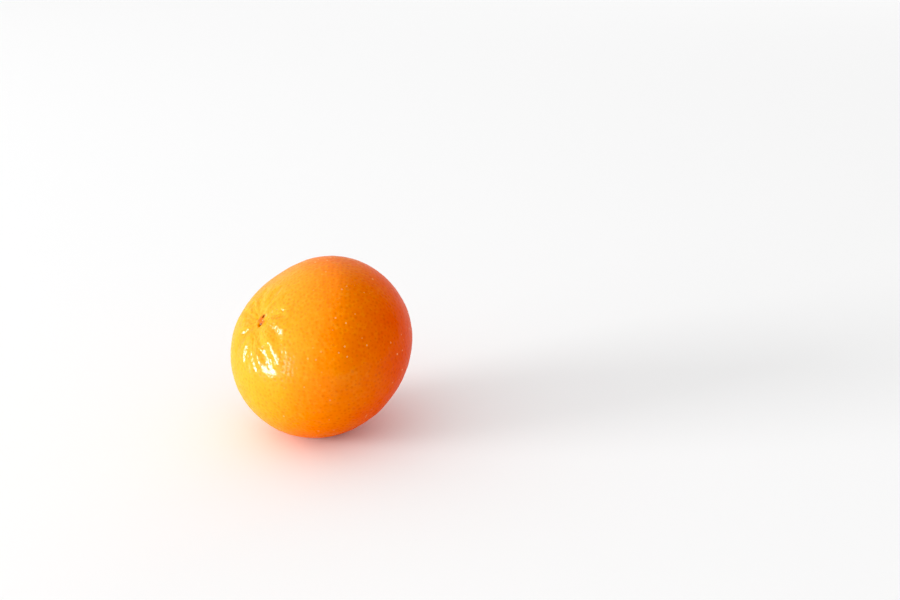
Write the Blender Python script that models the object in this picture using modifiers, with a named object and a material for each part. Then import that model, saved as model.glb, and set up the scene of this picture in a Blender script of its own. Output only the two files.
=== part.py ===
"""A mandarin that lies on its side on a table, modelled as the one solid that it grew as.

The fruit's own frame has its origin in the middle of the fruit and +Z through the stem scar.
The object is then turned into the pose in which it lies and set down on z = 0, where the soft
underside has taken a small flat spot.
"""

import math

import bmesh
import bpy
from mathutils import Matrix, Vector

MM = 0.001

# The body: round about its short axis, which leans away from the stem axis toward +X.
EQUATOR_RADIUS = 29.6 * MM
SHORT_RADIUS = 24.2 * MM
SQUARENESS = 2.25              # 2 is an ellipsoid, more is boxier
AXIS_LEAN = math.radians(16)

# The hollow at the stem scar with the collar of raised skin around it, and the blossom end's hollow.
STEM_HOLLOW_DEPTH = 1.5 * MM
STEM_HOLLOW_REACH = math.radians(9)
COLLAR_HEIGHT = 0.4 * MM
COLLAR_POLAR = math.radians(20)
COLLAR_REACH = math.radians(10)
BLOSSOM_HOLLOW_DEPTH = 0.9 * MM
BLOSSOM_HOLLOW_REACH = math.radians(14)

# Where the fruit grew fuller (+) or flatter (-) than round: azimuth and polar angle from the stem in
# degrees, then height.
SWELLINGS = (
    (130, 30, 0.5 * MM),       # the full shoulder beside the stem
    (50, 45, -1.0 * MM),       # the straight slope above the stem
    (180, 130, 1.0 * MM),      # the full cheek on the side that it lies on
)
SWELLING_REACH = math.radians(15)

# The pose: a spin about the stem axis, the stem's tilt from upright, and the way it then faces.
STEM_SPIN = math.radians(174)
STEM_TILT = math.radians(57)
STEM_HEADING = math.radians(-158)
FLAT_DEPTH = 1.0 * MM          # how much of the underside the flat spot takes off

# The cage, which one level of subdivision then rounds.
CAGE_COLUMNS = 40
CAGE_ROWS = 18
CAGE_SWELL = 1.008             # the subdivided skin lies this much inside its cage
SUBDIVISIONS = 1

PEEL_COLOUR = (0.80, 0.20, 0.012, 1.0)
PEEL_ROUGHNESS = 0.4


def bell(angle, reach):
    """A soft bump: 1 at angle 0, fading to nothing past about twice the reach."""
    return math.exp(-((angle / reach) ** 2))


def direction_at(azimuth, polar):
    """The unit vector at an azimuth about the stem axis and a polar angle from it."""
    outward = math.sin(polar)
    return Vector((outward * math.cos(azimuth), outward * math.sin(azimuth), math.cos(polar)))


def body_radius(direction):
    """The plain body's radius: a squarish ellipsoid of revolution about the leaning short axis."""
    along = abs(direction.dot(direction_at(0.0, AXIS_LEAN)))
    across = math.sqrt(max(0.0, 1.0 - along * along))
    power = (across / EQUATOR_RADIUS) ** SQUARENESS + (along / SHORT_RADIUS) ** SQUARENESS
    return power ** (-1.0 / SQUARENESS)


def skin_radius(direction):
    """How far the skin lies from the middle of the fruit, along a unit vector."""
    polar = math.acos(max(-1.0, min(1.0, direction.z)))
    radius = body_radius(direction)
    radius -= STEM_HOLLOW_DEPTH * bell(polar, STEM_HOLLOW_REACH)
    radius += COLLAR_HEIGHT * bell(polar - COLLAR_POLAR, COLLAR_REACH)
    radius -= BLOSSOM_HOLLOW_DEPTH * bell(math.pi - polar, BLOSSOM_HOLLOW_REACH)
    for swell_azimuth, swell_polar, height in SWELLINGS:
        middle = direction_at(math.radians(swell_azimuth), math.radians(swell_polar))
        radius += height * bell(direction.angle(middle), SWELLING_REACH)
    return radius


def collection(name):
    """A new collection under the scene."""
    made = bpy.data.collections.new(name)
    bpy.context.scene.collection.children.link(made)
    return made


def peel_material():
    """The waxy orange peel."""
    material = bpy.data.materials.new("peel")
    material.use_nodes = True
    shader = material.node_tree.nodes["Principled BSDF"]
    shader.inputs["Base Color"].default_value = PEEL_COLOUR
    shader.inputs["Roughness"].default_value = PEEL_ROUGHNESS
    shader.inputs["Metallic"].default_value = 0.0
    material.diffuse_color = PEEL_COLOUR
    return material


def make_fruit(parts):
    """The cage of the fruit in its own frame, rounded by subdivision."""
    mesh = bpy.data.meshes.new("mandarin")
    cage = bmesh.new()
    bmesh.ops.create_uvsphere(cage, u_segments=CAGE_COLUMNS, v_segments=CAGE_ROWS, radius=1.0)
    for vertex in cage.verts:
        direction = vertex.co.normalized()
        vertex.co = direction * skin_radius(direction) * CAGE_SWELL
    cage.to_mesh(mesh)
    cage.free()
    mesh.shade_smooth()
    mesh.materials.append(peel_material())
    fruit = bpy.data.objects.new("mandarin", mesh)
    parts.objects.link(fruit)
    rounding = fruit.modifiers.new("rounding", "SUBSURF")
    rounding.levels = SUBDIVISIONS
    rounding.render_levels = SUBDIVISIONS
    return fruit


def lay_down(fruit):
    """Turn the fruit onto its side, centre it on the origin and let it reach FLAT_DEPTH below z = 0."""
    spin = Matrix.Rotation(STEM_SPIN, 4, "Z")
    tilt = Matrix.Rotation(STEM_TILT, 4, "Y")
    heading = Matrix.Rotation(STEM_HEADING, 4, "Z")
    fruit.rotation_euler = (heading @ tilt @ spin).to_euler()
    bpy.context.view_layer.update()
    evaluated = fruit.evaluated_get(bpy.context.evaluated_depsgraph_get())
    skin = [fruit.matrix_world @ vertex.co for vertex in evaluated.data.vertices]
    low = [min(point[axis] for point in skin) for axis in range(3)]
    high = [max(point[axis] for point in skin) for axis in range(3)]
    fruit.location = (-(low[0] + high[0]) / 2, -(low[1] + high[1]) / 2, -low[2] - FLAT_DEPTH)


def cut_flat_spot(fruit, cutters):
    """Cut the underside off level at z = 0 with a block that has its top there."""
    width = 4 * EQUATOR_RADIUS
    height = 2 * EQUATOR_RADIUS
    mesh = bpy.data.meshes.new("table_top")
    block = bmesh.new()
    bmesh.ops.create_cube(block, size=1.0)
    bmesh.ops.scale(block, vec=(width, width, height), verts=block.verts)
    bmesh.ops.translate(block, vec=(0.0, 0.0, -height / 2), verts=block.verts)
    block.to_mesh(mesh)
    block.free()
    table_top = bpy.data.objects.new("table_top", mesh)
    cutters.objects.link(table_top)
    table_top.hide_render = True
    table_top.display_type = "WIRE"
    flat = fruit.modifiers.new("flat_spot", "BOOLEAN")
    flat.operation = "DIFFERENCE"
    flat.solver = "EXACT"
    flat.object = table_top


def main():
    for old in list(bpy.data.objects):
        bpy.data.objects.remove(old, do_unlink=True)
    parts = collection("mandarin")
    cutters = collection("cutters")
    fruit = make_fruit(parts)
    lay_down(fruit)
    cut_flat_spot(fruit, cutters)


main()
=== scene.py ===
# %% [markdown]
# # A mandarin, from a smooth ball to a waxy, pitted peel
#
# This lesson gives a whole mandarin its looks. The fruit's size, resting place and broad form are
# already settled in a plain solid, which is loaded first and stays where it is. The lesson then makes
# a fine mesh of the skin around that solid, sculpts the puckered stem end, lets the oil glands press
# their pits into it, and builds the peel's material. A camera, a plain pale table and the lights come
# before that, so that each step can be looked at in its final light.

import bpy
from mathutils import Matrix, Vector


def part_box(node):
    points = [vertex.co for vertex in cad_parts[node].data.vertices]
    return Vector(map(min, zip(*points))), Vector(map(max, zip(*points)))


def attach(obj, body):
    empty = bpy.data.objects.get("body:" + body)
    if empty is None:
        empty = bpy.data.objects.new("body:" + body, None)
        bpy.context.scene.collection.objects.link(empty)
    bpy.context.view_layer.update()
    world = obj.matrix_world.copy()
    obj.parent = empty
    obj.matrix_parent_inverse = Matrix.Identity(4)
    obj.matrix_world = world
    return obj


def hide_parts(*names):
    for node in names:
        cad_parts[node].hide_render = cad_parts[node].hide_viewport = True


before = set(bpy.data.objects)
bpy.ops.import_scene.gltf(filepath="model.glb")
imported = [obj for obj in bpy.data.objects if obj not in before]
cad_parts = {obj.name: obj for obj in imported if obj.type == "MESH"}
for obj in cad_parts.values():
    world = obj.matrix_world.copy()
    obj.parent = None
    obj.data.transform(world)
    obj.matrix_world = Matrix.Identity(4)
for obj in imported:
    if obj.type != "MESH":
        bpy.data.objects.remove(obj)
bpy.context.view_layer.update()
print("nodes in the frame:", list(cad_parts))

# %% Libraries and units
import math

import bmesh
import bpy
from mathutils import Matrix, Vector

MM = 0.001
low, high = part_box("mandarin")
print("plain solid, mm:", [round(side / MM, 1) for side in high - low])

# %% [markdown]
# ## Where the fruit's own middle and stem are
#
# A mandarin is a flattened ball. This one lies on its side, so its stem end looks up and to the left.
# Everything on the skin is placed by two angles about the stem, as on a globe: the polar angle from the
# stem, and the azimuth around it. One small function turns those angles into a direction. The flat spot
# has taken a thin slice off the underside, so the fruit's own middle, here called its heart, lies a
# little lower than the middle of its box.

# %% The fruit's globe
HEART_SHIFT = Vector((0.06 * MM, 0, -0.32 * MM))
STEM_SPIN = math.radians(174)
STEM_TILT = math.radians(57)
STEM_HEADING = math.radians(-158)
heart = (low + high) / 2 + HEART_SHIFT
pose = (
    Matrix.Rotation(STEM_HEADING, 3, "Z")
    @ Matrix.Rotation(STEM_TILT, 3, "Y")
    @ Matrix.Rotation(STEM_SPIN, 3, "Z")
)
stem_way = pose @ Vector((0, 0, 1))


def way(azimuth, polar):
    """The direction from the heart to a place on the skin; both angles in degrees."""
    around = math.radians(azimuth)
    down = math.radians(polar)
    sideways = math.sin(down)
    return pose @ Vector((sideways * math.cos(around), sideways * math.sin(around), math.cos(down)))


print("stem points along", [round(part, 2) for part in stem_way])

# %% [markdown]
# ## Camera
#
# The fruit is looked down on from about 24 degrees, from about forty centimetres away, through a normal
# 50 mm lens. It sits left of the middle of the frame and a little below it, so the camera aims at a
# point to the right of the fruit and above it, with no lens shift.

# %% Set up the camera
CAMERA_DISTANCE = 0.3964
CAMERA_ELEVATION = math.radians(24)
AIM_RIGHT = 0.0413
AIM_UP = 0.0125

backwards = Vector((0, -math.cos(CAMERA_ELEVATION), math.sin(CAMERA_ELEVATION)))
upwards = Vector((0, math.sin(CAMERA_ELEVATION), math.cos(CAMERA_ELEVATION)))
box_middle = (low + high) / 2
aim = box_middle + Vector((AIM_RIGHT, 0, 0)) + upwards * AIM_UP

camera_data = bpy.data.cameras.new("camera")
camera_data.lens = 50
camera_data.sensor_width = 36
camera_data.clip_start = 0.01
camera = bpy.data.objects.new("camera", camera_data)
bpy.context.scene.collection.objects.link(camera)
camera.location = box_middle + backwards * CAMERA_DISTANCE
camera.rotation_euler = (aim - camera.location).to_track_quat("-Z", "Y").to_euler()
bpy.context.scene.camera = camera
print("camera at, mm:", [round(part / MM) for part in camera.location])

# %% [markdown]
# ## A small class for node maths
#
# Both the pits in the mesh and the peel's colour are sums and products of textures. Wiring Math nodes
# by hand hides such a formula, so one class wraps a node's output and gives it Python's operators:
# each operation adds its Math node. Its add method makes every other kind of node, for a material and
# for geometry nodes alike: the settings are put in first, then the values or links of the sockets.

# %% The Wire class
class Wire:
    """A node's output that can be calculated with."""

    def __init__(self, socket):
        self.socket = socket
        self.tree = socket.id_data

    @staticmethod
    def add(tree, kind, settings=None, sockets=None, output=0):
        """Add a node, put in its settings, fill or link its sockets and hand back one output."""
        node = tree.nodes.new(kind)
        for name, value in (settings or {}).items():
            setattr(node, name, value)
        for name, value in (sockets or {}).items():
            if isinstance(value, Wire):
                tree.links.new(value.socket, node.inputs[name])
            else:
                node.inputs[name].default_value = value
        return Wire(node.outputs[output])

    def maths(self, operation, *values):
        """A Math node on this output and up to two more values."""
        sockets = dict(enumerate((self,) + values))
        return Wire.add(self.tree, "ShaderNodeMath", {"operation": operation}, sockets)

    def vector(self, operation, other, output="Vector"):
        """A Vector Math node on this output and another vector."""
        sockets = {0: self, 1: other}
        return Wire.add(self.tree, "ShaderNodeVectorMath", {"operation": operation}, sockets, output)

    def __add__(self, other):
        return self.maths("ADD", other)

    __radd__ = __add__

    def __mul__(self, other):
        return self.maths("MULTIPLY", other)

    __rmul__ = __mul__

    def __sub__(self, other):
        return self.maths("SUBTRACT", other)

    def __rsub__(self, other):
        return (self * -1) + other

    def step(self, start, end):
        """0 before start, 1 after end and a smooth rise between them; start may be the larger."""
        sockets = {"Value": self, "From Min": start, "From Max": end}
        return Wire.add(self.tree, "ShaderNodeMapRange", {"interpolation_type": "SMOOTHSTEP"}, sockets)


# %% [markdown]
# ## Noise of a known size
#
# A Noise texture's scale says how many blobs fit in a metre, which is hard to imagine on a fruit. So one
# function takes the size of a blob, and everything below gives its blobs in millimetres.

# %% Noise by size
def speckle(position, size, detail=2.0, shift=0.0):
    """Soft noise with blobs of about a size in metres, from 0 to 1; shift picks another pattern."""
    moved = position.vector("ADD", (shift, shift, shift))
    sockets = {"Vector": moved, "Scale": 1 / size, "Detail": detail, "Roughness": 0.5}
    return Wire.add(position.tree, "ShaderNodeTexNoise", {}, sockets)


# %% [markdown]
# ## Table
#
# The fruit lies on a plain white surface that runs on past the edges of the frame. A large plane is
# enough. It isn't part of the fruit.

# %% Make the table
TABLE_WIDTH = 30.0
TABLE_COLOUR = (0.92, 0.92, 0.92, 1.0)
TABLE_ROUGHNESS = 0.85
TABLE_GLOSS = 0.2

bpy.ops.object.select_all(action="DESELECT")
bpy.ops.mesh.primitive_plane_add(size=TABLE_WIDTH)
table = bpy.context.object
table.name = "table"
table_paint = bpy.data.materials.new("table_paint")
table_paint.use_nodes = True
table_shader = table_paint.node_tree.nodes["Principled BSDF"]
table_shader.inputs["Base Color"].default_value = TABLE_COLOUR
table_shader.inputs["Roughness"].default_value = TABLE_ROUGHNESS
table_shader.inputs["Specular IOR Level"].default_value = TABLE_GLOSS
table.data.materials.append(table_paint)
print("table of", TABLE_WIDTH, "m across")

# %% [markdown]
# ## Light
#
# One window stands low on the left. Its white reflection in the waxy peel tells most about the skin, so
# it is an area light of a real window's proportions and not a lamp. Light on a curtain beside it, weaker
# and wider, gives the soft haze around that reflection. A weak panel behind the fruit lights the far
# table; it is kept out of the reflections, because its outline would show in the wax as a pale patch.

# %% Make the window, the curtain and the panel
WINDOW_SIZE = (0.76, 0.60)
WINDOW_WAY = Vector((-1.94, -0.30, 0.32))
WINDOW_POWER = 34.0
CURTAIN_SIZE = (1.3, 0.5)
CURTAIN_WAY = Vector((-1.80, -0.70, 0.25))
CURTAIN_POWER = 9.0
PANEL_SIZE = (1.2, 0.4)
PANEL_WAY = Vector((0.8, 1.6, 0.45))
PANEL_POWER = 2.6


def area_light(name, size, offset, power):
    """A rectangle of light at an offset from the heart, turned to face it."""
    data = bpy.data.lights.new(name, "AREA")
    data.shape = "RECTANGLE"
    data.size, data.size_y = size
    data.energy = power
    light = bpy.data.objects.new(name, data)
    bpy.context.scene.collection.objects.link(light)
    light.location = heart + offset
    light.rotation_euler = (-offset).to_track_quat("-Z", "Y").to_euler()
    print(name, "at", round(offset.length, 2), "m from the fruit")
    return light


area_light("window", WINDOW_SIZE, WINDOW_WAY, WINDOW_POWER)
area_light("curtain", CURTAIN_SIZE, CURTAIN_WAY, CURTAIN_POWER)
panel = area_light("panel", PANEL_SIZE, PANEL_WAY, PANEL_POWER)
panel.visible_glossy = False

# %% [markdown]
# ### Room
#
# The rest of the room is bright and white, a little dimmer on the right and near the camera, which a
# world with a soft gradient gives. All that white reflects in the wax too and lays a thin grey veil over
# the peel's deep orange. Raising the black level a little in the view's curves takes the veil off.

# %% Make the room
ROOM_LIGHT = 1.02
ROOM_FALL_RIGHT = 0.45
ROOM_RISE_BACK = 0.15
BLACK_LEVEL = 0.038

room = bpy.data.worlds.new("room")
room.use_nodes = True
bpy.context.scene.world = room
room_tree = room.node_tree
direction = Wire.add(room_tree, "ShaderNodeTexCoord", output="Generated")
sideways = direction.vector("DOT_PRODUCT", (1, 0, 0), "Value")
depthways = direction.vector("DOT_PRODUCT", (0, 1, 0), "Value")
glow = ROOM_LIGHT - ROOM_FALL_RIGHT * sideways.step(-1.0, 1.0) + ROOM_RISE_BACK * depthways.step(-1.0, 1.0)
background = room_tree.nodes["Background"]
background.inputs["Color"].default_value = (1.0, 1.0, 1.0, 1.0)
room_tree.links.new(glow.socket, background.inputs["Strength"])

view = bpy.context.scene.view_settings
view.view_transform = "Standard"
view.use_curve_mapping = True
view.curve_mapping.black_level = (BLACK_LEVEL, BLACK_LEVEL, BLACK_LEVEL)
view.curve_mapping.update()
print("room light from", round(ROOM_LIGHT - ROOM_FALL_RIGHT, 2), "to", round(ROOM_LIGHT + ROOM_RISE_BACK, 2))

# %% [markdown]
# ## The skin as a mesh
#
# The skin could be made from scratch, but its broad form is already in the plain solid. So an even ball
# of square faces is blown up until it lies on that solid: a cube, subdivided and made round, whose
# points are thrown outwards onto the solid by Shrinkwrap. A UV sphere would crowd its faces at two
# poles; this ball has none. The solid's flat facets are then smoothed away, and the ball is swelled
# back to its height, because smoothing shrinks it. The flat spot is pressed level at the very end.

# %% Start with a cube and two helpers
START_SIZE = 20 * MM

bpy.ops.object.select_all(action="DESELECT")
bpy.ops.mesh.primitive_cube_add(size=START_SIZE, location=heart)
skin = bpy.context.object
skin.name = "mandarin_skin"
bpy.ops.object.transform_apply(location=True, rotation=False, scale=False)


def apply_modifier(kind, **settings):
    """Add a modifier of a kind to the skin and apply it."""
    modifier = skin.modifiers.new(kind.lower(), kind)
    for name, value in settings.items():
        setattr(modifier, name, value)
    bpy.ops.object.modifier_apply(modifier=modifier.name)


def edit(active):
    """Go into edit mode or leave it."""
    bpy.ops.object.mode_set(mode="EDIT" if active else "OBJECT")


print("cube at the heart, mm:", [round(part / MM, 1) for part in heart])

# %% Blow it up onto the solid
BALL_LEVEL = 5

apply_modifier("SUBSURF", levels=BALL_LEVEL, render_levels=BALL_LEVEL)
edit(True)
bpy.ops.mesh.select_all(action="SELECT")
bpy.ops.transform.tosphere(value=1.0)
edit(False)
apply_modifier(
    "SHRINKWRAP",
    target=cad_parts["mandarin"],
    wrap_method="PROJECT",
    use_positive_direction=True,
    use_negative_direction=False,
)
print("ball of", len(skin.data.polygons), "faces on the solid")

# %% Smooth its facets away
SMOOTHING_ROUNDS = 12


def skin_height():
    """How tall the skin stands, top above bottom."""
    heights = [vertex.co.z for vertex in skin.data.vertices]
    return max(heights) - min(heights)


height_before = skin_height()
edit(True)
bpy.ops.mesh.select_all(action="SELECT")
bpy.ops.mesh.vertices_smooth(factor=0.5, repeat=SMOOTHING_ROUNDS)
edit(False)
swell = height_before / skin_height()
edit(True)
bpy.ops.transform.resize(value=(swell, swell, swell), center_override=heart)
edit(False)
apply_modifier("SUBSURF", levels=1, render_levels=1)
print("smooth ball of", len(skin.data.polygons), "faces, swelled by", round(swell, 4))

# %% [markdown]
# ## The puckered stem end
#
# Where the stem was, the peel draws together like a purse: folds run out from the scar, wide and soft
# further out, tight near it. They are sculpted the way a hand would: a line of points that runs out
# from the stem is picked, and pushed in or pulled out with proportional editing, so that the skin
# around it follows. Each fold gets a place of its own, because a regular star would look moulded.

# %% Pick and push
def pick(wanted):
    """Select the skin's points for which wanted(point) is true and no others; hand back how many."""
    cage = bmesh.from_edit_mesh(skin.data)
    for vertex in cage.verts:
        vertex.select_set(wanted(vertex.co))
    picked = sum(vertex.select for vertex in cage.verts)
    cage.select_flush_mode()
    bmesh.update_edit_mesh(skin.data)
    return picked


def push_picked(depth, width):
    """Push the picked points in by a depth in millimetres; the skin follows as far as the width."""
    bpy.ops.transform.shrink_fatten(
        value=-depth * MM,
        use_proportional_edit=True,
        proportional_edit_falloff="SMOOTH",
        proportional_size=width * MM,
    )


# %% One sculpting stroke
STROKE_STOPS = 12
ON_LINE = math.cos(math.radians(1.0))
NEAR_STEM = math.cos(math.radians(60.0))


def stroke(azimuth, start, end, push, width, bend=0.0):
    """Push the skin in (or pull it out, with a negative push) along a line that runs out from the stem.

    The line goes from the polar angle start to end, in degrees, and turns by bend degrees on its way.
    Push and width are in millimetres; width is how far the skin beside the line follows.
    """
    route = []
    for stop in range(STROKE_STOPS + 1):
        part = stop / STROKE_STOPS
        route.append(way(azimuth + bend * part, start + (end - start) * part))

    def on_route(point):
        outward = (point - heart).normalized()
        if outward.dot(stem_way) < NEAR_STEM:
            return False
        return max(outward.dot(station) for station in route) > ON_LINE

    pick(on_route)
    push_picked(push, width)


# %% Sculpt the folds
FURROWS = (
    # azimuth, start, end, push, width, bend
    (170, 6, 26, 0.30, 1.9, 4),
    (-155, 18, 34, 0.24, 1.1, 3),
    (-145, 20, 36, 0.22, 0.9, 2),
    (-135, 16, 35, 0.26, 1.2, 3),
    (-115, 5, 38, 0.55, 3.6, 3),
    (-80, 5, 30, 0.40, 2.4, -6),
    (-45, 5, 26, 0.36, 1.9, -5),
    (-20, 6, 16, 0.15, 1.2, 3),
    (10, 5, 25, 0.34, 1.9, 6),
    (50, 5, 25, 0.36, 2.2, 5),
    (85, 6, 21, 0.20, 1.6, -4),
    (120, 5, 28, 0.36, 2.3, 4),
)
RIDGES = (
    (150, 9, 25, 0.25, 2.2, 2),
    (-165, 12, 27, 0.26, 2.0, 2),
    (-125, 20, 34, 0.24, 1.9, -2),
    (-95, 17, 40, 0.40, 3.0, -12),
    (-65, 15, 30, 0.26, 2.4, -4),
    (-10, 10, 27, 0.20, 2.2, 4),
    (30, 9, 24, 0.16, 2.4, 5),
    (100, 9, 26, 0.20, 2.2, 0),
)

edit(True)
for azimuth, start, end, push, width, bend in FURROWS:
    stroke(azimuth, start, end, push, width, bend)
for azimuth, start, end, pull, width, bend in RIDGES:
    stroke(azimuth, start, end, -pull, width, bend)
edit(False)
print("sculpted", len(FURROWS), "furrows and", len(RIDGES), "ridges")

# %% [markdown]
# ## Finer faces
#
# The folds were sculpted on faces about 0.6 mm wide, which keeps them soft. The details that follow are
# finer, so every face is cut in four, down to a third of a millimetre.

# %% Refine the mesh
apply_modifier("SUBSURF", levels=1, render_levels=1)
print("skin of", len(skin.data.polygons), "faces")

# %% [markdown]
# ## The scar of the stem
#
# In the middle of the folds is the spot where the stem broke off: a slit about three millimetres long
# with a small hole at each end, and a short crease that half rings it. They are finer still, so the
# faces around the stem are cut in four once more. At the other end, in the shallow hollow there, the
# blossom has left a dimple hardly two millimetres across.

# %% Refine around the stem
SCAR_ENDS = ((0, 4), (-125, 4))  # azimuth and polar angle of the two holes
SCAR_AREA = 3.0 * MM


def skin_point(direction):
    """The skin's point that lies closest to a direction from the heart."""
    points = (vertex.co for vertex in skin.data.vertices)
    return max(points, key=lambda point: (point - heart).normalized().dot(direction)).copy()


scar_places = [skin_point(way(azimuth, polar)) for azimuth, polar in SCAR_ENDS]
scar_middle = (scar_places[0] + scar_places[1]) / 2
edit(True)
pick(lambda point: (point - scar_middle).length < SCAR_AREA)
bpy.ops.mesh.subdivide(number_cuts=1)
edit(False)
print("skin of", len(skin.data.polygons), "faces")

# %% Sculpt the scar and the blossom's dimple
SLIT_PART = 0.4
SLIT_WIDTH = 0.15 * MM
HOLE_RADIUS = 0.22 * MM
DIMPLE_RADIUS = 0.4 * MM
SLIT_PUSH = (0.18, 0.9)  # how deep and how wide, in millimetres
HOLE_PUSH = (0.45, 0.7)
DIMPLE_PUSH = (0.25, 1.6)
RING_CREASE = (-85, 7.0, 8.5, 0.14, 0.6, 50)  # a stroke, as for the folds

slit = scar_places[1] - scar_places[0]
slit_way = slit.normalized()
slit_reach = SLIT_PART * slit.length


def in_slit(point):
    """Whether a point lies in the thin line between the scar's two holes."""
    from_middle = point - scar_middle
    along = abs(from_middle.dot(slit_way))
    return along < slit_reach and from_middle.cross(slit_way).length < SLIT_WIDTH


blossom_place = skin_point(-stem_way)
edit(True)
pick(in_slit)
push_picked(*SLIT_PUSH)
for end in scar_places:
    pick(lambda point: (point - end).length < HOLE_RADIUS)
    push_picked(*HOLE_PUSH)
stroke(*RING_CREASE)
pick(lambda point: (point - blossom_place).length < DIMPLE_RADIUS)
push_picked(*DIMPLE_PUSH)
edit(False)
hole_places = [skin_point(way(azimuth, polar)) for azimuth, polar in SCAR_ENDS]
print("scar slit, mm:", round(slit.length / MM, 1))

# %% [markdown]
# ## The oil glands' pits and the skin's relief
#
# The peel is full of oil glands, about a millimetre and a half apart, and the wax skin sinks a little
# over each. Real glands keep their distance from each other, so a Voronoi texture, whose cells come in
# every size, would look wrong. Geometry nodes can scatter points that keep a least distance, and tell
# each point of the mesh how far it is from the nearest one. That distance is stored on the mesh, where
# the material finds it again, so pits and coloured dots fall together.

# %% Scatter the glands
GLAND_SPACING = 1.2 * MM
GLAND_DENSITY = 3.0e6  # points in a square metre, before the spacing thins them out
GLAND_SEED = 4
LARGE_GLAND = 0.75
SMALL_GLAND = 1.7

relief = bpy.data.node_groups.new("peel_relief", "GeometryNodeTree")
relief.interface.new_socket("Geometry", in_out="INPUT", socket_type="NodeSocketGeometry")
relief.interface.new_socket("Geometry", in_out="OUTPUT", socket_type="NodeSocketGeometry")
bare = Wire.add(relief, "NodeGroupInput")
glands = Wire.add(
    relief,
    "GeometryNodeDistributePointsOnFaces",
    {"distribute_method": "POISSON"},
    {"Mesh": bare, "Distance Min": GLAND_SPACING, "Density Max": GLAND_DENSITY, "Seed": GLAND_SEED},
    "Points",
)
print("glands at least", GLAND_SPACING / MM, "mm apart")

# %% [markdown]
# ### Large and small glands
#
# A gland's pit is drawn by the distance to its middle. Multiplying that distance by a random factor, the
# same one all around a gland, makes the pit larger (below 1) or smaller (above 1). So the nearest gland's
# index is looked up first, and the factor is then read from that gland.

# %% Measure the distance to the glands
to_gland = Wire.add(
    relief,
    "GeometryNodeProximity",
    {"target_element": "POINTS"},
    {"Geometry": glands},
    "Distance",
)
nearest = Wire.add(relief, "GeometryNodeSampleNearest", {"domain": "POINT"}, {"Geometry": glands})
any_factor = Wire.add(
    relief,
    "FunctionNodeRandomValue",
    {"data_type": "FLOAT"},
    {2: LARGE_GLAND, 3: SMALL_GLAND, "Seed": GLAND_SEED},
    1,
)
gland_factor = Wire.add(
    relief,
    "GeometryNodeSampleIndex",
    {"data_type": "FLOAT", "domain": "POINT"},
    {"Geometry": glands, "Value": any_factor, "Index": nearest},
)
gland_distance = to_gland * gland_factor
print("gland distances are scaled by", LARGE_GLAND, "to", SMALL_GLAND)

# %% [markdown]
# ### Streaks around the stem
#
# Creases and streaks of colour both run out from the stem. Noise gives such streaks when it is read at a
# place that changes fast around the stem's axis and slowly away from it. Both uses share two functions.

# %% Streaky noise
def about_stem(position):
    """The unit vector around the stem's axis, the distance from that axis and the height along it."""
    from_heart = position.vector("SUBTRACT", tuple(heart))
    sideways = Wire.add(position.tree, "ShaderNodeCombineXYZ", {}, {
        "X": from_heart.vector("DOT_PRODUCT", tuple(pose @ Vector((1, 0, 0))), "Value"),
        "Y": from_heart.vector("DOT_PRODUCT", tuple(pose @ Vector((0, 1, 0))), "Value"),
    })
    height = from_heart.vector("DOT_PRODUCT", tuple(stem_way), "Value")
    return sideways.vector("NORMALIZE", (0, 0, 0)), sideways.vector("LENGTH", (0, 0, 0), "Value"), height


def stem_noise(around, distance, turns, length):
    """Noise in streaks that run out from the stem: more turns make them narrower."""
    outwards = Wire.add(around.tree, "ShaderNodeCombineXYZ", {}, {"Z": distance * (1 / length)})
    sockets = {0: around, 1: (turns, turns, turns), 2: outwards}
    streak_place = Wire.add(around.tree, "ShaderNodeVectorMath", {"operation": "MULTIPLY_ADD"}, sockets)
    sockets = {"Vector": streak_place, "Scale": 1.0, "Detail": 2.0}
    return Wire.add(around.tree, "ShaderNodeTexNoise", {}, sockets)


# %% [markdown]
# ### Creases
#
# A crease is drawn where the streaky noise passes through its middle value, which is a thin line. A
# second noise breaks the lines up, and they stay between the scar and the fruit's shoulder.

# %% Draw the creases
CREASE_TURNS = 3.6
CREASE_LENGTH = 7 * MM
CREASE_WIDTH = 0.05
CREASE_GAPS = 6 * MM
CREASE_DEPTH = 0.20 * MM

here = Wire.add(relief, "GeometryNodeInputPosition")
around, distance, height = about_stem(here)
crease_noise = stem_noise(around, distance, CREASE_TURNS, CREASE_LENGTH)
crease_lines = (crease_noise - 0.5).maths("ABSOLUTE").step(CREASE_WIDTH, 0.0)
creases = crease_lines * speckle(here, CREASE_GAPS).step(0.35, 0.6)
crease_zone = distance.step(17 * MM, 8 * MM) * distance.step(1.5 * MM, 4 * MM) * height.step(0, 5 * MM)
print("creases up to", CREASE_DEPTH / MM, "mm deep")

# %% [markdown]
# ### All of the relief
#
# The heights are added up, and each point moves along its normal by the sum. The peel has soft lumps
# about nine millimetres wide, pebbling of two and grain of one, beside the creases and the pits.

# %% Add it up and press it into the skin
PIT_RADIUS = 0.60 * MM
PIT_DEPTH = 0.09 * MM
LUMP_SIZE = 9 * MM
LUMP_HEIGHT = 0.30 * MM
PEBBLE_SIZE = 2.2 * MM
PEBBLE_HEIGHT = 0.15 * MM
GRAIN_SIZE = 1.1 * MM
GRAIN_HEIGHT = 0.08 * MM

pits = gland_distance.step(PIT_RADIUS, 0.1 * PIT_RADIUS) * PIT_DEPTH
lumps = (speckle(here, LUMP_SIZE) - 0.5) * LUMP_HEIGHT
pebbles = (speckle(here, PEBBLE_SIZE, 2.0, 3.1) - 0.5) * PEBBLE_HEIGHT
wrinkles = creases * crease_zone * CREASE_DEPTH
grain = (speckle(here, GRAIN_SIZE, 1.0, 6.3) - 0.5) * GRAIN_HEIGHT
rise = lumps + pebbles + grain - wrinkles - pits

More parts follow.
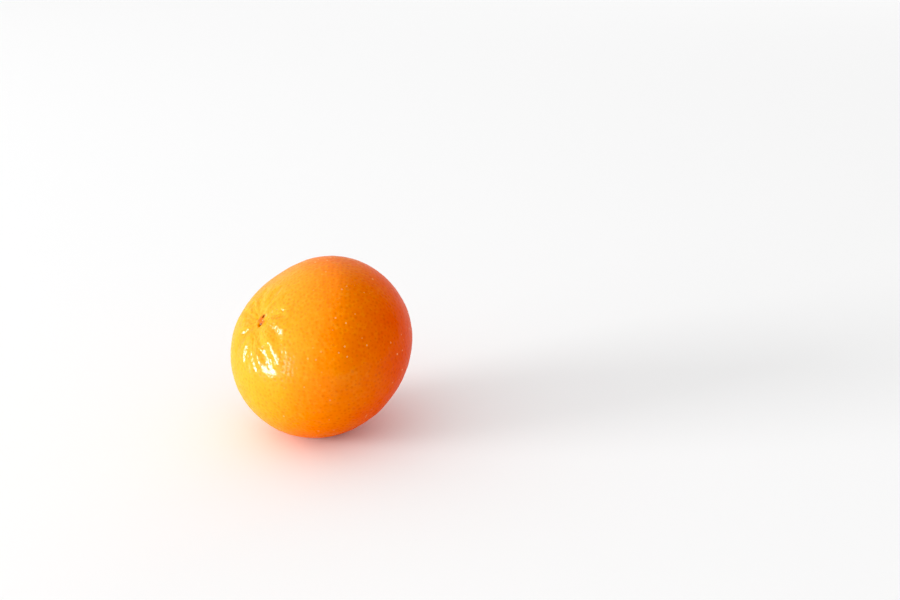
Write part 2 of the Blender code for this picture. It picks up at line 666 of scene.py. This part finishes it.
marked = Wire.add(
    relief,
    "GeometryNodeStoreNamedAttribute",
    {},
    {"Geometry": bare, "Name": "gland", "Value": gland_distance},
)
outward = Wire.add(relief, "GeometryNodeInputNormal")
offset = Wire.add(relief, "ShaderNodeVectorMath", {"operation": "SCALE"}, {"Vector": outward, "Scale": rise})
moved = Wire.add(relief, "GeometryNodeSetPosition", {}, {"Geometry": marked, "Offset": offset})
group_output = relief.nodes.new("NodeGroupOutput")
relief.links.new(moved.socket, group_output.inputs["Geometry"])

apply_modifier("NODES", node_group=relief)
gland_values = [item.value for item in skin.data.attributes["gland"].data]
in_pits = sum(value < PIT_RADIUS for value in gland_values)
print("points in pits:", in_pits, "of", len(gland_values))

# %% [markdown]
# ## The flat spot
#
# The relief has moved the underside too. It is pressed level again: every point that has come below
# the table goes back up to it.

# %% Press the underside level
edit(True)
below = pick(lambda point: point.z < 0)
bpy.ops.transform.resize(value=(1, 1, 0), center_override=(0, 0, 0))
edit(False)
print("points pressed level:", below)

# %% [markdown]
# ## The peel's material
#
# Mandarin peel is a waxy, slightly see-through skin. It is yellower on the side that faces the window,
# which on this fruit is mostly the stem's side, and a deeper orange on the side away from it: partly the
# peel's own colour, partly painted light on the lit side and painted shade on the far side.
# The oil glands show through as darker dots. One Principled shader does it: some light goes under the
# skin and comes out softened, and a thin coat gives the wax its sharper reflection over a duller base.

# %% The peel's colours
# The yellow and the deep orange are partly painted light and shade: yellow for the lit side, deep orange for
# the shaded one.
LIT_STEM_SIDE_COLOUR = (0.94, 0.33, 0.014, 1.0)
FLANK_COLOUR = (0.91, 0.200, 0.004, 1.0)
SHADED_BLOSSOM_SIDE_COLOUR = (0.86, 0.078, 0.001, 1.0)
GLAND_TINT = (0.78, 0.48, 0.35, 1.0)
BRIGHT_COLOUR = (0.96, 0.42, 0.03, 1.0)
PALE_COLOUR = (0.96, 0.58, 0.24, 1.0)
BRUISE_COLOUR = (0.62, 0.10, 0.008, 1.0)
# Near black for the scar's holes: partly the scar's own colour, partly painted shade in them.
SCAR_AND_HOLE_SHADE_COLOUR = (0.06, 0.018, 0.004, 1.0)
BLOSSOM_SCAR_COLOUR = (0.22, 0.09, 0.03, 1.0)

peel = bpy.data.materials.new("peel")
peel.use_nodes = True
peel_tree = peel.node_tree
peel_shader = peel_tree.nodes["Principled BSDF"]


def blend(factor, first, second, mode="MIX"):
    """A colour that goes from the first to the second, or to their product, as the factor goes to 1."""
    settings = {"data_type": "RGBA", "blend_type": mode}
    return Wire.add(factor.tree, "ShaderNodeMix", settings, {"Factor": factor, 6: first, 7: second}, 2)


print("material", peel.name, "starts with", len(peel_tree.nodes), "nodes")

# %% [markdown]
# ### Ground colour
#
# Two soft steps along the way from the shaded side to the side that the window lights mix three oranges,
# from deep orange to yellow: partly the peel's own colour, partly painted shade and painted light. A cloudy
# noise moves the steps to and fro by a few millimetres, so that no edge of theirs is straight.

# %% Mix the ground colour
# Points towards the side that the window lights; the yellow painted along it is partly painted light.
LIT_SIDE_WAY = Vector((-0.86, -0.32, 0.32)).normalized()
CLOUD_SIZE = 11 * MM
CLOUD_SHIFT = 12 * MM

place = Wire.add(peel_tree, "ShaderNodeTexCoord", output="Object")
from_heart = place.vector("SUBTRACT", tuple(heart))
cloud = (speckle(place, CLOUD_SIZE) - 0.5) * CLOUD_SHIFT
toward_stem = from_heart.vector("DOT_PRODUCT", tuple(stem_way), "Value") + cloud
toward_lit_side = from_heart.vector("DOT_PRODUCT", tuple(LIT_SIDE_WAY), "Value") + cloud

# Painted light and shade, in part: deep orange towards the shaded side, yellow towards the lit side.
ground = blend(toward_lit_side.step(-18 * MM, 8 * MM), SHADED_BLOSSOM_SIDE_COLOUR, FLANK_COLOUR)
ground = blend(toward_lit_side.step(2 * MM, 26 * MM), ground, LIT_STEM_SIDE_COLOUR)
print("ground colour mixed from", len(peel_tree.nodes), "nodes")

# %% [markdown]
# ### Gland dots, streaks and mottling
#
# The stored distance puts a dot on every pit. A dot multiplies the ground's colour, because it is the
# same peel seen deeper, and a blotchy noise makes some dots stronger than others. Around the stem,
# streaks of deeper orange run out with the creases, and the same blotches leave small bright patches.

# %% Colour the glands and the stem end
DOT_RADIUS = 0.70 * MM
DOT_CORE = 0.10 * MM
FAINT_DOT = 0.18
STRONGER_DOT = 0.42
BLOTCH_SIZE = 1.3 * MM
STREAK_TURNS = 2.6
STREAK_LENGTH = 12 * MM
STREAK_STRENGTH = 0.40
BRIGHT_STRENGTH = 0.24

gland = Wire.add(peel_tree, "ShaderNodeAttribute", {"attribute_name": "gland"}, output="Fac")
blotch = speckle(place, BLOTCH_SIZE, 3.0, 5.2)
dot = gland.step(DOT_RADIUS, DOT_CORE) * (FAINT_DOT + blotch.step(0.35, 0.65) * STRONGER_DOT)
colour = blend(dot, ground, GLAND_TINT, "MULTIPLY")
around, distance, height = about_stem(place)
streak_zone = distance.step(19 * MM, 7 * MM) * height.step(0, 5 * MM)
streaks = stem_noise(around, distance, STREAK_TURNS, STREAK_LENGTH).step(0.48, 0.62) * streak_zone
colour = blend(streaks * STREAK_STRENGTH, colour, FLANK_COLOUR)
bright = blotch.step(0.46, 0.70) * toward_stem.step(-12 * MM, 14 * MM)
colour = blend(bright * BRIGHT_STRENGTH, colour, BRIGHT_COLOUR)
print("dots, streaks and patches make it", len(peel_tree.nodes), "nodes")

# %% [markdown]
# ### Pale specks and the scar's colours
#
# Tiny pale scabs are strewn over the peel in loose groups, where the young fruit rubbed against leaves
# and twigs. A Voronoi texture gives each one a random place, and a broad noise lets only some regions
# have them. None lie near the stem. The scar's two holes are painted near black, which is partly the
# scar's own dark brown and partly painted shade inside the holes.

# %% Colour the specks and the scar
SPECK_SPACING = 2.5 * MM
SPECK_RADIUS = 0.42 * MM
SPECK_CORE = 0.4 * SPECK_RADIUS
SPECK_REGION = 13 * MM
SPECK_STRENGTH = 0.60
BRUISE_RADIUS = 2.4  # this and the next two in millimetres
HOLE_SHADE = 1.05
DIMPLE_SHADE = 1.3
BRUISE_STRENGTH = 0.75
HOLE_STRENGTH = 0.96
DIMPLE_STRENGTH = 0.7


def spot(middle, radius):
    """1 at a point of the skin, fading to 0 at a radius in millimetres."""
    return place.vector("DISTANCE", tuple(middle), "Value").step(radius * MM, 0.3 * radius * MM)


nearest_speck = Wire.add(peel_tree, "ShaderNodeTexVoronoi", {}, {"Vector": place, "Scale": 1 / SPECK_SPACING})
speck_region = speckle(place, SPECK_REGION, 1.0, 2.5).step(0.40, 0.52) * toward_stem.step(20 * MM, 12 * MM)
specks = (nearest_speck * SPECK_SPACING).step(SPECK_RADIUS, SPECK_CORE) * speck_region
colour = blend(specks * SPECK_STRENGTH, colour, PALE_COLOUR)
bruise = spot(scar_middle, BRUISE_RADIUS) * blotch.step(0.25, 0.6)
colour = blend(bruise * BRUISE_STRENGTH, colour, BRUISE_COLOUR)
# Painted shade, in part: the scar's two holes are laid near black, partly the scar's own dark brown and
# partly the shade inside them.
for hole in hole_places:
    colour = blend(spot(hole, HOLE_SHADE) * HOLE_STRENGTH, colour, SCAR_AND_HOLE_SHADE_COLOUR)
colour = blend(spot(blossom_place, DIMPLE_SHADE) * DIMPLE_STRENGTH, colour, BLOSSOM_SCAR_COLOUR)
peel_tree.links.new(colour.socket, peel_shader.inputs["Base Color"])
print("specks and scars make it", len(peel_tree.nodes), "nodes")

# %% [markdown]
# ### Grain and wax
#
# What is finer than the mesh, a grain of half a millimetre and the specks' raised edges, is left to a
# bump. The wax is a thin coat: its weight is low but its index high, so that it shines from the front as
# well as at the rim. A usual index would leave the front dull and turn the rim milky.

# %% Finish the surface
FINE_SIZE = 0.5 * MM
FINE_HEIGHT = 0.018 * MM
SPECK_HEIGHT = 0.03 * MM
SMOOTHEST = 0.42
ROUGHER = 0.14

fine = speckle(place, FINE_SIZE, 2.0, 7.7)
roughness = SMOOTHEST + ROUGHER * fine
peel_tree.links.new(roughness.socket, peel_shader.inputs["Roughness"])
bump_height = (fine - 0.5) * FINE_HEIGHT + specks * SPECK_HEIGHT
bump = Wire.add(peel_tree, "ShaderNodeBump", {}, {"Height": bump_height, "Distance": 1.0, "Strength": 1.0})
peel_tree.links.new(bump.socket, peel_shader.inputs["Normal"])

peel_shader.inputs["Metallic"].default_value = 0.0
peel_shader.inputs["IOR"].default_value = 1.45
peel_shader.inputs["Specular IOR Level"].default_value = 0.05
peel_shader.inputs["Coat Weight"].default_value = 0.23
peel_shader.inputs["Coat IOR"].default_value = 2.3
peel_shader.inputs["Coat Roughness"].default_value = 0.18
peel_shader.inputs["Subsurface Weight"].default_value = 0.12
peel_shader.inputs["Subsurface Radius"].default_value = (1.0, 0.35, 0.1)
peel_shader.inputs["Subsurface Scale"].default_value = 1.5 * MM

skin.data.materials.clear()
skin.data.materials.append(peel)
skin.data.shade_smooth()
print("peel of", len(peel_tree.nodes), "nodes on", skin.name)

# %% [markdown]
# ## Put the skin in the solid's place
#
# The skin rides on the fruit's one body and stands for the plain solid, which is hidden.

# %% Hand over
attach(skin, "root")
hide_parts("mandarin")
